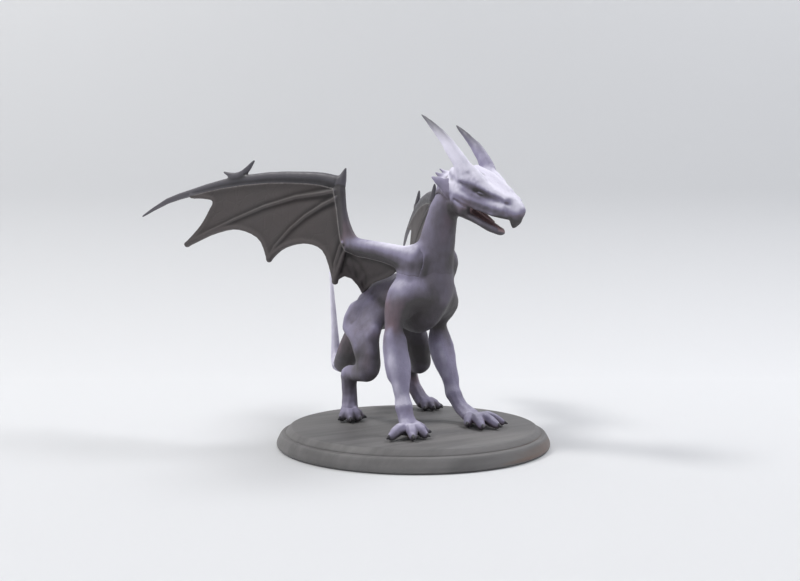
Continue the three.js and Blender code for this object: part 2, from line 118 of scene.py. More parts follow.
def make_floor():
    """A pale floor that sweeps up into a backdrop behind the figure, as seen from the camera."""
    away = Vector((math.sin(math.radians(34)), math.cos(math.radians(34)), 0))
    across = Vector((away.y, -away.x, 0))
    near, far, radius, height, half_width = -1.5, 0.16, 0.12, 3.0, 5.0
    steps = 24
    profile = [(near, 0.0)]
    for i in range(steps + 1):
        angle = math.pi / 2 * i / steps
        profile.append((far + radius * math.sin(angle), radius * (1 - math.cos(angle))))
    profile.append((far + radius, height))
    points = [
        away * d + across * side * half_width + Vector((0, 0, z)) for d, z in profile for side in (-1, 1)
    ]
    faces = [(2 * i, 2 * i + 1, 2 * i + 3, 2 * i + 2) for i in range(len(profile) - 1)]
    mesh = bpy.data.meshes.new("studio_floor")
    mesh.from_pydata([tuple(p) for p in points], [], faces)
    mesh.polygons.foreach_set("use_smooth", [True] * len(faces))
    floor = bpy.data.objects.new("studio_floor", mesh)
    bpy.context.scene.collection.objects.link(floor)
    material = bpy.data.materials.new("studio_floor")
    material.use_nodes = True
    shader = material.node_tree.nodes["Principled BSDF"]
    shader.inputs["Base Color"].default_value = (0.75, 0.757, 0.765, 1)
    shader.inputs["Roughness"].default_value = 0.9
    floor.data.materials.append(material)


# ------------------------------------------------------------------------------
# Distance fields
# ------------------------------------------------------------------------------


class Zone:
    """A block of voxels around some nodes. Its fields are signed distances in mm, clipped at `reach`."""

    reach = 3.0

    def __init__(self, nodes, voxel, margin=2.5):
        self.voxel = voxel * FINE
        boxes = [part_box(n) for n in nodes]
        low = np.min([b[0] for b in boxes], axis=0) / MM - margin
        high = np.max([b[1] for b in boxes], axis=0) / MM + margin
        self.low = low
        self.shape = tuple(int(n) for n in np.ceil((high - low) / self.voxel) + 1)

    def node(self, name):
        """The signed distance to a CAD node."""
        mesh = frame["nodes"][name].data
        mesh.calc_loop_triangles()
        points = np.empty(len(mesh.vertices) * 3, np.float32)
        mesh.vertices.foreach_get("co", points)
        points = points.reshape(-1, 3) / MM - self.low
        triangles = np.empty(len(mesh.loop_triangles) * 3, np.int32)
        mesh.loop_triangles.foreach_get("vertices", triangles)
        grid = openvdb.FloatGrid.createLevelSetFromPolygons(
            points.astype(np.float32),
            triangles=triangles.reshape(-1, 3).astype(np.uint32),
            transform=openvdb.createLinearTransform(voxelSize=self.voxel),
            halfWidth=self.reach / self.voxel,
        )
        field = np.empty(self.shape, np.float32)
        grid.copyToArray(field)
        return field

    def axes(self):
        """Open arrays of x, y and z at the voxels, which broadcast to the zone's shape."""
        lines = [self.low[i] + self.voxel * np.arange(self.shape[i], dtype=np.float32) for i in range(3)]
        return np.meshgrid(*[line.astype(np.float32) for line in lines], indexing="ij", sparse=True)

    def mesh(self, field):
        """The zero surface as (points in mm, quads)."""
        grid = openvdb.FloatGrid(self.reach)
        grid.copyFromArray(np.ascontiguousarray(np.clip(field, -self.reach, self.reach)))
        points, quads = grid.convertToQuads(0.0)
        return points * self.voxel + self.low, quads[:, ::-1]

    def sample(self, field, points):
        """The field's values at points, by linear interpolation."""
        place = (points - self.low) / self.voxel
        cell = np.clip(np.floor(place).astype(int), 0, np.array(self.shape) - 2)
        share = (place - cell).astype(np.float32)
        total = np.zeros(len(points), np.float32)
        for corner in np.ndindex(2, 2, 2):
            weight = np.prod([share[:, i] if corner[i] else 1 - share[:, i] for i in range(3)], axis=0)
            index = tuple(cell[:, i] + corner[i] for i in range(3))
            total += weight * field[index]
        return total


def blur(field, sigma):
    """A Gaussian blur with sigma in voxels, one axis at a time."""
    if sigma < 0.3:
        return field
    radius = int(math.ceil(2.5 * sigma))
    weights = np.exp(-0.5 * (np.arange(-radius, radius + 1) / sigma) ** 2)
    weights = (weights / weights.sum()).astype(np.float32)
    for axis in range(3):
        widths = [(radius, radius) if a == axis else (0, 0) for a in range(3)]
        padded = np.pad(field, widths, mode="edge")
        result = np.zeros_like(field)
        for k, weight in enumerate(weights):
            window = [slice(None)] * 3
            window[axis] = slice(k, k + field.shape[axis])
            result += weight * padded[tuple(window)]
        field = result
    return field


def soft(zone, field, sigma):
    """A wide Gaussian blur with sigma in mm, worked out on every other voxel."""
    result = blur(np.ascontiguousarray(field[::2, ::2, ::2]), sigma / (2 * zone.voxel))
    for axis in range(3):
        place = np.arange(field.shape[axis]) / 2
        cell = np.minimum(place.astype(int), result.shape[axis] - 2)
        share = (place - cell).astype(np.float32).reshape([-1 if a == axis else 1 for a in range(3)])
        result = np.take(result, cell, axis) * (1 - share) + np.take(result, cell + 1, axis) * share
    return result


def join(a, b, fillet):
    """The union of two fields with a fillet of about that radius, where neither distance is clipped."""
    h = np.maximum(fillet - np.abs(a - b), 0) / fillet
    known = np.clip(2 * (Zone.reach - 0.15 - np.maximum(a, b)), 0, 1)
    return np.minimum(a, b) - h * h * fillet / 4 * known


def carve(a, b, fillet):
    """Field a with b cut away, and a rounded edge."""
    return -join(-a, b, fillet)


def redistanced(zone, field):
    """The true distance to a field's zero surface. The zone's walls count as outside."""
    walled = np.full(zone.shape, 1.0, np.float32)
    walled[1:-1, 1:-1, 1:-1] = field[1:-1, 1:-1, 1:-1]
    grid = openvdb.FloatGrid(zone.reach)
    grid.copyFromArray(walled)
    points, triangles, quads = grid.convertToPolygons(0.0)
    level_set = openvdb.FloatGrid.createLevelSetFromPolygons(
        (points * zone.voxel).astype(np.float32),
        triangles=triangles,
        quads=quads,
        transform=openvdb.createLinearTransform(voxelSize=zone.voxel),
        halfWidth=zone.reach / zone.voxel,
    )
    result = np.empty(zone.shape, np.float32)
    level_set.copyToArray(result)
    return result


def opened(zone, field, radius):
    """What is left of a form once everything thinner than that radius is taken off."""
    return redistanced(zone, field + radius) - radius


def closed(zone, field, radius):
    """A form with every crease tighter than that radius filled."""
    return np.minimum(field, redistanced(zone, field - radius) + radius)


def capsule(axes, start, end, radius_start, radius_end):
    """A tapered rod with round ends."""
    start, along = np.array(start, np.float32), np.array(end, np.float32) - np.array(start, np.float32)
    offset = [axes[i] - start[i] for i in range(3)]
    share = np.clip(sum(offset[i] * along[i] for i in range(3)) / float(along @ along), 0, 1)
    squared = sum((offset[i] - share * along[i]) ** 2 for i in range(3))
    return np.sqrt(squared) - (radius_start + (radius_end - radius_start) * share)


def ellipsoid(axes, centre, radii):
    scaled = np.sqrt(sum(((axes[i] - centre[i]) / radii[i]) ** 2 for i in range(3)))
    return (scaled - 1) * min(radii)


def lumps(zone, size, seed):
    """Smooth noise over a zone, about -1 to 1, with lumps of that size in mm."""
    random = np.random.default_rng(seed)
    coarse = [max(4, int(n * zone.voxel / size) + 3) for n in zone.shape]
    field = random.standard_normal(coarse).astype(np.float32)
    for axis in range(3):
        place = np.arange(zone.shape[axis]) * zone.voxel / size + 0.5
        cell = np.minimum(place.astype(int), coarse[axis] - 2)
        share = place - cell
        share = (share * share * (3 - 2 * share)).astype(np.float32)
        spread = [1, 1, 1]
        spread[axis] = -1
        share = share.reshape(spread)
        field = np.take(field, cell, axis) * (1 - share) + np.take(field, cell + 1, axis) * share
    return field * 0.8


# ------------------------------------------------------------------------------
# From fields to pieces
# ------------------------------------------------------------------------------


def relax(points, quads, rounds):
    """Evens out voxel steps without shrinking the form (alternating inward and outward Laplacian steps)."""
    edges = np.concatenate([quads[:, [i, (i + 1) % 4]] for i in range(4)]).astype(np.int64)
    count = sum(np.bincount(ends, minlength=len(points)) for ends in edges.T)
    count = np.maximum(count, 1)
    for step in range(rounds):
        mean = np.empty_like(points)
        for i in range(3):
            total = np.bincount(edges[:, 0], points[edges[:, 1], i], len(points))
            total += np.bincount(edges[:, 1], points[edges[:, 0], i], len(points))
            mean[:, i] = total / count
        points = points + (mean - points) * (0.5 if step % 2 == 0 else -0.52)
    return points


def largest_island(quads, count):
    """Keeps the faces of the biggest connected surface."""
    label = np.arange(count)
    while True:
        low = label[quads].min(axis=1)
        new = label.copy()
        for i in range(4):
            np.minimum.at(new, quads[:, i], low)
        new = new[new]
        if (new == label).all():
            break
        label = new
    owner = label[quads[:, 0]]
    values, sizes = np.unique(owner, return_counts=True)
    return quads[owner == values[sizes.argmax()]]


def make_piece(name, node, points, quads, material, attributes):
    """Makes the object that stands for a CAD node, from points in mm."""
    used, index = np.unique(quads, return_inverse=True)
    quads = index.reshape(-1, quads.shape[1])
    mesh = bpy.data.meshes.new(name)
    mesh.from_pydata((points[used] * MM).tolist(), [], quads.tolist())
    mesh.polygons.foreach_set("use_smooth", np.ones(len(quads), bool))
    mesh.set_sharp_from_angle(angle=math.radians(60))
    for key, values in attributes.items():
        layer = mesh.attributes.new(key, "FLOAT", "POINT")
        layer.data.foreach_set("value", values[used].astype(np.float32))
    mesh.update()
    piece = bpy.data.objects.new(name, mesh)
    bpy.context.scene.collection.objects.link(piece)
    piece.data.materials.append(material)
    stand_in(piece, node)


def stand_in(piece, node):
    """Lets a piece take a CAD node's place and body."""
    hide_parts(node)
    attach(piece, frame["nodes"][node]["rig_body"])


def sculpt(zone, fields, surface, outputs, material_of, masks, soften=1.2, rounds=4):
    """Cuts a joined surface back into its castings.

    fields holds every node's own distance, surface is the sculpted whole, and masks gives more paint
    masks for a casting from its name and points. The cavity mask is positive on edges and negative in
    hollows.
    """
    clipped = np.clip(surface, -1.5, 1.5)
    hollow = blur(clipped, soften / zone.voxel) - clipped
    skin = smooth_step(surface, -1.0, -0.5)
    for name in outputs:
        body = frame["nodes"][name]["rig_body"]
        loose_lap = -LOOSE_GAP + (LOOSE_LAP + LOOSE_GAP) * skin
        piece = surface
        for loose, lap in ((False, GLUED_LAP), (True, loose_lap)):
            others = [
                field
                for other, field in fields.items()
                if other != name and (frame["nodes"][other]["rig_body"] != body) == loose
            ]
            if others:
                beyond = (fields[name] - np.minimum.reduce(others)) / 2
                piece = np.maximum(piece + 0.3 * np.maximum(beyond, 0), beyond - lap)
        points, quads = zone.mesh(piece)
        quads = largest_island(quads, len(points))
        points = relax(points, quads, rounds)
        attributes = {"cavity": zone.sample(hollow, points), **masks(name, points)}
        make_piece(name + "_sculpt", name, points, quads, material_of(name), attributes)


def smooth_step(value, low, high):
    share = np.clip((value - low) / (high - low), 0, 1)
    return share * share * (3 - 2 * share)


# ------------------------------------------------------------------------------
# Materials
# ------------------------------------------------------------------------------


class Nodes:
    """Short ways to build a material's node tree."""

    def __init__(self, name):
        self.material = bpy.data.materials.new(name)
        self.material.use_nodes = True
        self.tree = self.material.node_tree
        self.shader = self.tree.nodes["Principled BSDF"]
        self.place = self.add("ShaderNodeTexCoord").outputs["Object"]

    def add(self, kind, **settings):
        node = self.tree.nodes.new(kind)
        for key, value in settings.items():
            setattr(node, key, value)
        return node

    def link(self, source, target):
        self.tree.links.new(source, target)

    def noise(self, scale, detail=4, roughness=0.55, stretch=None):
        node = self.add("ShaderNodeTexNoise")
        node.inputs["Scale"].default_value = scale
        node.inputs["Detail"].default_value = detail
        node.inputs["Roughness"].default_value = roughness
        self.link(self.stretched(stretch), node.inputs["Vector"])
        return node.outputs["Fac"]

    def cells(self, scale):
        node = self.add("ShaderNodeTexVoronoi", feature="DISTANCE_TO_EDGE")
        node.inputs["Scale"].default_value = scale
        self.link(self.place, node.inputs["Vector"])
        return node.outputs["Distance"]

    def stretched(self, stretch):
        if stretch is None:
            return self.place
        node = self.add("ShaderNodeMapping")
        node.inputs["Scale"].default_value = stretch
        self.link(self.place, node.inputs["Vector"])
        return node.outputs["Vector"]

    def attribute(self, name):
        return self.add("ShaderNodeAttribute", attribute_name=name).outputs["Fac"]

    def facing(self, direction):
        """How far the surface faces a direction of the row frame, -1 to 1."""
        node = self.add("ShaderNodeVectorMath", operation="DOT_PRODUCT")
        self.link(self.add("ShaderNodeNewGeometry").outputs["Normal"], node.inputs[0])
        node.inputs[1].default_value = Vector(direction).normalized()
        return node.outputs["Value"]

    def fit(self, value, low, high, to_low=0.0, to_high=1.0):
        node = self.add("ShaderNodeMapRange", interpolation_type="SMOOTHSTEP")
        self.link(value, node.inputs["Value"])
        for key, number in zip(("From Min", "From Max", "To Min", "To Max"), (low, high, to_low, to_high)):
            node.inputs[key].default_value = number
        return node.outputs["Result"]

    def maths(self, operation, a, b):
        node = self.add("ShaderNodeMath", operation=operation)
        for socket, value in zip(node.inputs, (a, b)):
            if isinstance(value, (int, float)):
                socket.default_value = value
            else:
                self.link(value, socket)
        return node.outputs[0]

    def mix(self, factor, a, b):
        node = self.add("ShaderNodeMix", data_type="RGBA", blend_type="MIX")
        factor_socket, a_socket, b_socket = node.inputs[0], node.inputs[6], node.inputs[7]
        for socket, value in ((factor_socket, factor), (a_socket, a), (b_socket, b)):
            if isinstance(value, tuple):
                socket.default_value = (*value, 1)
            elif isinstance(value, (int, float)):
                socket.default_value = value
            else:
                self.link(value, socket)
        return node.outputs[2]

    def bump(self, height, strength, distance, before=None):
        node = self.add("ShaderNodeBump")
        node.inputs["Strength"].default_value = strength
        node.inputs["Distance"].default_value = distance
        self.link(height, node.inputs["Height"])
        if before is not None:
            self.link(before, node.inputs["Normal"])
        return node.outputs["Normal"]

    def finish(self, colour, roughness, normal=None, metallic=0.0, coat=0.0):
        self.link(colour, self.shader.inputs["Base Color"])
        if isinstance(roughness, (int, float)):
            self.shader.inputs["Roughness"].default_value = roughness
        else:
            self.link(roughness, self.shader.inputs["Roughness"])
        if normal is not None:
            self.link(normal, self.shader.inputs["Normal"])
        self.shader.inputs["Metallic"].default_value = metallic
        self.shader.inputs["Coat Weight"].default_value = coat
        return self.material


PRIMER = (0.066, 0.06, 0.062)
MIDDLE = (0.15, 0.133, 0.172)
LAVENDER = (0.31, 0.285, 0.41)
# PALE is the lightest lavender; on upper surfaces it also stands for a painted highlight.
PALE = (0.9, 0.87, 1.0)
ROSE = (0.21, 0.14, 0.17)
WASH_AND_SHADE = (0.042, 0.036, 0.04)
PALE_EDGE = (0.3, 0.28, 0.29)
# The lighter paint was sprayed from this direction, and the painted highlight falls from it too.
LIGHT_FROM = (-0.3, 0.1, 0.95)  # where the lighter paint was sprayed from


def hide_material():
    """Lavender sprayed from above and dry-brushed over dark primer, with a dark wash in the hollows that is
    also painted shade, and a painted highlight on upper surfaces.

    The masks give how much lavender an upright surface has, which also holds painted light and shade for
    some castings; how much more an upper one has, which is sprayed paint and a painted highlight in one;
    seam, a pale line; bare, the dark claws; and flesh, the lining of the mouth.
    """
    n = Nodes("painted_hide")
    patch = n.noise(110, 4)
    streak = n.noise(420, 3, 0.6, (1, 1, 0.35))
    cavity = n.attribute("cavity")
    # Upper surfaces facing LIGHT_FROM get more lavender and pale paint: sprayed paint and a painted
    # highlight in one.
    sprayed_and_lit = n.maths("MULTIPLY", n.facing(LIGHT_FROM), n.attribute("spray_and_highlight"))
    cover_and_light = n.maths("ADD", n.attribute("cover_and_light"), sprayed_and_lit)
    cover_and_light = n.maths("ADD", cover_and_light, n.fit(patch, 0.3, 0.7, -0.06, 0.06))
    cover_and_light = n.maths("ADD", cover_and_light, n.fit(streak, 0.3, 0.7, -0.05, 0.05))
    # Hollows get less lavender and a dark wash, a real wash and painted shade in one; edges get more
    # lavender.
    cover_and_light = n.maths("ADD", cover_and_light, n.fit(cavity, -0.3, 0.0, -0.3, 0.0))
    cover_and_light = n.maths("ADD", cover_and_light, n.fit(cavity, 0.05, 0.5, 0.0, 0.3))
    tint = n.mix(n.fit(n.noise(55, 2), 0.5, 0.72), MIDDLE, ROSE)
    colour = n.mix(n.fit(cover_and_light, 0.0, 0.45), PRIMER, tint)
    colour = n.mix(n.fit(cover_and_light, 0.32, 0.82), colour, LAVENDER)
    colour = n.mix(n.fit(cover_and_light, 0.7, 1.3, 0, 1), colour, PALE)
    colour = n.mix(n.fit(cavity, -0.22, -0.03, 0.7, 0), colour, WASH_AND_SHADE)
    line = n.maths("MULTIPLY", n.attribute("seam"), n.fit(streak, 0.3, 0.6, 0.25, 0.9))
    colour = n.mix(line, colour, PALE_EDGE)
    claw = n.mix(n.fit(streak, 0.3, 0.7), (0.03, 0.028, 0.032), (0.085, 0.08, 0.09))
    colour = n.mix(n.attribute("bare"), colour, claw)
    flesh = n.mix(n.fit(patch, 0.3, 0.7), (0.3, 0.2, 0.205), (0.46, 0.33, 0.34))
    colour = n.mix(n.attribute("flesh"), colour, flesh)
    skin = n.cells(1300)
    grain = n.noise(2600, 3)
    normal = n.bump(n.fit(skin, 0.0, 0.25), 0.25, 0.00012)
    normal = n.bump(grain, 0.15, 0.0001, normal)
    rough = n.mix(n.attribute("bare"), (0.6, 0.6, 0.6), (0.42, 0.42, 0.42))
    return n.finish(colour, rough, normal)


def claw_material():
    n = Nodes("dark_claw")
    streak = n.noise(700, 4, 0.6)
    colour = n.mix(n.fit(streak, 0.35, 0.7), (0.011, 0.01, 0.011), (0.024, 0.021, 0.023))
    colour = n.mix(n.fit(n.attribute("cavity"), 0.05, 0.3, 0, 0.5), colour, (0.2, 0.19, 0.22))
    return n.finish(colour, n.fit(streak, 0.3, 0.7, 0.42, 0.58), n.bump(streak, 0.25, 0.00015))


def membrane_material():
    n = Nodes("wing_skin")
    patch = n.noise(70, 5)
    fine = n.noise(900, 4, 0.6, (1, 1, 0.4))
    cavity = n.attribute("cavity")
    colour = n.mix(n.fit(patch, 0.3, 0.7), (0.015, 0.012, 0.012), (0.028, 0.021, 0.02))
    # Darker in the hollows, which is painted shade, and lighter on the raised ribs.
    colour = n.mix(n.fit(cavity, -0.1, 0.0, 0.6, 0), colour, (0.02, 0.018, 0.02))
    colour = n.mix(n.fit(cavity, 0.03, 0.22, 0, 0.6), colour, (0.14, 0.122, 0.12))
    line = n.maths("MULTIPLY", n.attribute("seam"), n.fit(fine, 0.3, 0.6, 0.35, 0.9))
    colour = n.mix(line, colour, (0.26, 0.24, 0.235))
    veins = n.cells(260)
    normal = n.bump(n.fit(veins, 0.0, 0.08), 0.25, 0.00016)
    normal = n.bump(fine, 0.3, 0.00016, normal)
    return n.finish(colour, n.fit(patch, 0.3, 0.7, 0.55, 0.72), normal)


def flesh_material():
    n = Nodes("mouth_flesh")
    spot = n.noise(900, 3)
    colour = n.mix(n.fit(spot, 0.3, 0.7), (0.26, 0.17, 0.175), (0.4, 0.27, 0.275))
    return n.finish(colour, 0.32, n.bump(spot, 0.4, 0.00012), coat=0.3)


def base_material():
    n = Nodes("base_paint")
    streak = n.noise(60, 5, 0.6, (0.35, 3.5, 2))
    cloud = n.noise(28, 4)
    grain = n.noise(2200, 3)
    colour = n.mix(n.fit(streak, 0.3, 0.7), (0.122, 0.118, 0.117), (0.19, 0.184, 0.182))
    colour = n.mix(n.fit(cloud, 0.35, 0.65, 0, 0.35), colour, (0.25, 0.24, 0.235))
    colour = n.mix(n.fit(grain, 0.62, 0.8, 0, 0.3), colour, (0.1, 0.098, 0.1))
    # A painted reflection: a warm brown patch on the side of the base that faces front right.
    front_right = n.fit(n.facing((0.52, -0.85, 0)), 0.78, 0.97)
    warm_reflection = n.maths("MULTIPLY", front_right, n.fit(cloud, 0.4, 0.55, 0.3, 0.9))
    colour = n.mix(warm_reflection, colour, (0.19, 0.135, 0.11))
    normal = n.bump(streak, 0.12, 0.0002)
    normal = n.bump(grain, 0.2, 0.00008, normal)
    return n.finish(colour, n.fit(cloud, 0.3, 0.7, 0.52, 0.68), normal)


def metal_material(name, colour, darker, roughness):
    n = Nodes(name)
    drawn = n.noise(1500, 3, 0.6, (1, 1, 0.1))
    shade = n.mix(n.fit(drawn, 0.3, 0.7), colour, darker)
    return n.finish(shade, roughness, n.bump(drawn, 0.1, 0.00005), metallic=1.0)


# ------------------------------------------------------------------------------
# The figure
# ------------------------------------------------------------------------------

SIDES = ("right", "left")
PINS = [n for n in frame["nodes"] if n.endswith("_pin")]
WING_PARTS = ("wing_arm", "wing_finger", "wing_membrane", "thumb_claw", "knuckle_claw")

# How much lavender each casting has: on upright surfaces, and the extra on surfaces that face up.
# The numbers also hold painted light and shade: the skull and the near horn are paler where light falls,
# and the far horn and the torso's flank under the wing are darker where shade falls.
COVER_AND_LIGHT = {
    "torso": (0.09, 0.12),
    "neck": (0.24, 0.42),
    "tail_base": (0.04, 0.2),
    "tail_tip": (0.84, 0.3),
    "skull": (0.84, 0.95),
    "lower_jaw": (-0.05, 0.12),
    "cheek_frill": (0.55, 0.2),
    "horn_right": (1.3, 0.4),
    "horn_left": (0.66, 0.25),
    "foreleg": (0.42, 0.42),
    "hind_leg": (0.36, 0.42),
    "fore_paw": (0.54, 0.36),
    "hind_paw": (0.36, 0.4),
    "wing_arm": (0.26, 1.05),
}


def paint(name, points):
    """The paint masks that depend only on the casting."""
    key = next((k for k in COVER_AND_LIGHT if name.startswith(k)), None)
    cover_and_light, spray_and_highlight = COVER_AND_LIGHT.get(key, (0.3, 0.3))
    count = len(points)
    masks = {"cover_and_light": np.full(count, cover_and_light), "spray_and_highlight": np.full(count, spray_and_highlight)}
    masks.update({key: np.zeros(count) for key in ("seam", "bare", "flesh")})
    if "leg" in name:
        low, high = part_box(name)[0].z / MM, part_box(name)[1].z / MM
        share = (points[:, 2] - low) / (high - low)
        if name.startswith("foreleg"):
            elbow = smooth_step(share, 0.32, 0.66) * (1 - smooth_step(share, 0.75, 0.95))
            masks["cover_and_light"] += 0.22 - 0.62 * elbow
        else:
            # The hind leg is a little darker all over, with painted shade at the knee.
            knee_shade = (1 - smooth_step(share, 0.3, 0.55)) * smooth_step(share, 0.1, 0.2)
            masks["cover_and_light"] -= 0.12 + 0.34 * knee_shade
    return masks


def pale_line(zone, fields, neighbours, points):
    """A thin line beside the named castings."""
    nearest = np.min([zone.sample(fields[n], points) for n in neighbours], axis=0)
    return smooth_step(nearest, 0.3, 0.45) * (1 - smooth_step(nearest, 0.6, 0.85))


def points_of(name):
    return np.array([v.co for v in frame["nodes"][name].data.vertices]) / MM


class Limb:
    """The line through a limb's CAD solid, by height."""

    def __init__(self, name):
        self.points = points_of(name)
        self.low, self.high = self.points[:, 2].min(), self.points[:, 2].max()

    def at(self, share, angle, depth):
        """A point `depth` mm under the surface, `share` of the way up, at an angle from +X towards +Y."""
        height = self.low + share * (self.high - self.low)
        ring = self.points[np.abs(self.points[:, 2] - height) < 1.7]
        centre = ring.mean(axis=0)
        way = np.array([math.cos(math.radians(angle)), math.sin(math.radians(angle)), 0])
        radius = ((ring - centre) @ way).max()
        return centre + way * (radius - depth) + np.array([0, 0, height - centre[2]])


def muscles(surface, axes, limb, side, ridges):
    """Adds muscle ridges to a limb.

    Each is (share, share, angle on the dragon's left, radius, radius, rise).
    """
    steps = 5
    for start, end, angle, radius_start, radius_end, rise in ridges:
        turned = angle if side == "left" else 180 - angle
        shares = np.linspace(0, 1, steps)
        radii = [radius_start + (radius_end - radius_start) * share for share in shares]
        places = []
        for share, radius in zip(shares, radii):
            depth = radius - rise * math.sin(math.pi * (0.15 + 0.7 * share))
            places.append(limb.at(start + (end - start) * share, turned, depth))
        belly = np.full(surface.shape, 9.0, np.float32)
        for k in range(steps - 1):
            belly = np.minimum(belly, capsule(axes, places[k], places[k + 1], radii[k], radii[k + 1]))
        surface = join(surface, belly, 1.3)
    return surface


FORELEG_MUSCLES = (
    (0.52, 0.14, -30, 1.3, 0.7, 0.4),
    (0.5, 0.16, -120, 1.1, 0.6, 0.35),
    (0.5, 0.22, 60, 1.2, 0.7, 0.35),
)
HIND_LEG_MUSCLES = (
    (0.86, 0.35, -70, 2.0, 1.5, 0.45),
    (0.86, 0.4, -10, 1.8, 1.4, 0.35),
)


def trunk(zone, fields, arms, legs, paws=()):
    """The body's form with its limbs. Every zone that meets the body uses it, so that the pieces join."""
    surface = soft(zone, join(fields["torso"], fields["neck"], 3.0), 1.5) - 0.12
    for n, fillet in (("tail_base", 2.6), ("tail_tip", 1.2)):
        if n in fields:
            surface = join(surface, fields[n], fillet)
    for n in arms:
        surface = join(surface, fields[n], 3.0)
    axes = zone.axes()
    for n in legs:
        surface = join(surface, limb_form(zone, fields, axes, n), 3.0)
    for n in paws:
        surface = join(surface, paw_form(zone, fields, n), 1.6)
    return blur(knit(zone, surface), 0.5 / zone.voxel) - 0.03


def knit(zone, surface):
    """Fills the creases between castings, but not those between the toes."""
    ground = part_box("base_plate")[1].z / MM
    above = smooth_step(zone.axes()[2], ground + 3, ground + 5)
    return surface + (closed(zone, surface, 1.6) - surface) * above


def paw_form(zone, fields, name):
    return blur(fields[name], 0.2 / zone.voxel) - 0.02


def limb_form(zone, fields, axes, name):
    side = name.rsplit("_", 1)[1]
    ridges = FORELEG_MUSCLES if name.startswith("foreleg") else HIND_LEG_MUSCLES
    return muscles(blur(fields[name], 0.7 / zone.voxel) - 0.04, axes, Limb(name), side, ridges)


FADE = 0.8  # how fast one casting's paint gives way to the next one's, mm


def blended_paint(zone, fields, group, name, points):
    """Paint masks that fade from a casting into its neighbours of the group, as sprayed paint does."""
    result = paint(name, points)
    own = np.maximum(zone.sample(fields[name], points), 0)
    total, weight = {key: np.zeros(len(points)) for key in ("cover_and_light", "spray_and_highlight")}, np.zeros(len(points))
    for other in group:
        distance = np.maximum(zone.sample(fields[other], points), 0) if other != name else own
        share = np.exp(-distance / FADE)
        weight += share
        for key in total:
            total[key] += share * paint(other, points)[key]
    for key in total:
        result[key] = total[key] / weight
    return result


def body_pieces():
    """Torso, neck, legs and tail root, joined by fillets and then parted at their seams."""
    legs = [f"{leg}_{side}" for leg in ("foreleg", "hind_leg") for side in SIDES]
    outputs = ["torso", "neck", "tail_base", *legs]
    paws = [f"{paw}_{side}" for paw in ("fore_paw", "hind_paw") for side in SIDES]
    zone = Zone(outputs, 0.28)
    arms = ["wing_arm_right", "wing_arm_left"]
    names = [*outputs, "skull", "lower_jaw", *arms, "tail_tip", *paws, *PINS]
    fields = {n: zone.node(n) for n in names}
    surface = trunk(zone, fields, arms, legs, paws)
    for n in ("skull", "lower_jaw"):
        surface = join(surface, fields[n], 1.8)
    surface += 0.06 * lumps(zone, 4.5, 11) + 0.04 * lumps(zone, 1.5, 12)
    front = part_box("torso")[0].y / MM
    front_legs, hind_legs = legs[:2], legs[2:]
    upper = ["torso", "neck", *front_legs, *arms, *paws[:2]]
    lower = ["torso", "tail_base", "tail_tip", *hind_legs, *paws[2:]]

    def masks(name, points):
        group = upper if name in upper and name != "torso" else [*upper, *lower[1:]]
        result = blended_paint(zone, fields, group, name, points)
        if name == "torso":
            chest = 1 - smooth_step(points[:, 1], front + 3, front + 10)
            result["cover_and_light"] = result["cover_and_light"] + 0.04 * chest
            result["seam"] = pale_line(zone, fields, front_legs, points) * (1 - chest)
        return result

    sculpt(zone, fields, surface, outputs, lambda name: HIDE, masks)


def paw_pieces():
    for paw, leg in (("fore_paw", "foreleg"), ("hind_paw", "hind_leg")):
        for side in SIDES:
            name = f"{paw}_{side}"
            zone = Zone([name], 0.13, margin=1.5)
            fields = {n: zone.node(n) for n in (name, f"{leg}_{side}", name + "_pin")}
            limb = limb_form(zone, fields, zone.axes(), f"{leg}_{side}")
            surface = knit(zone, join(limb, paw_form(zone, fields, name), 1.6))
            surface = blur(surface, 0.2 / zone.voxel)
            surface += 0.03 * lumps(zone, 1.2, 21)
            thick = opened(zone, fields[name], 0.82)
            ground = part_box(name)[0].z / MM

            def masks(name, points, zone=zone, fields=fields, thick=thick, ground=ground):
                castings = [n for n in fields if n not in PINS]
                result = blended_paint(zone, fields, castings, name, points)
                claws = smooth_step(zone.sample(thick, points), 0.1, 0.3)
                low = 1 - smooth_step(points[:, 2], ground + 2.2, ground + 3)
                result["bare"] = claws * low
                # Painted shade near the ground, between the toes.
                ground_shade = 1 - smooth_step(points[:, 2], ground, ground + 3.5)
                result["cover_and_light"] = result["cover_and_light"] - 0.25 * ground_shade
                return result

            sculpt(zone, fields, surface, [name], lambda name: HIDE, masks, soften=0.6)


def tail_pieces():
    zone = Zone(["tail_tip"], 0.18)
    fields = {n: zone.node(n) for n in ("tail_tip", "tail_base", "tail_tip_pin")}
    surface = join(fields["tail_tip"], fields["tail_base"], 1.2)
    surface = blur(surface, 0.3 / zone.voxel) - 0.04
    sculpt(zone, fields, surface, ["tail_tip"], lambda name: HIDE, paint, soften=0.8)


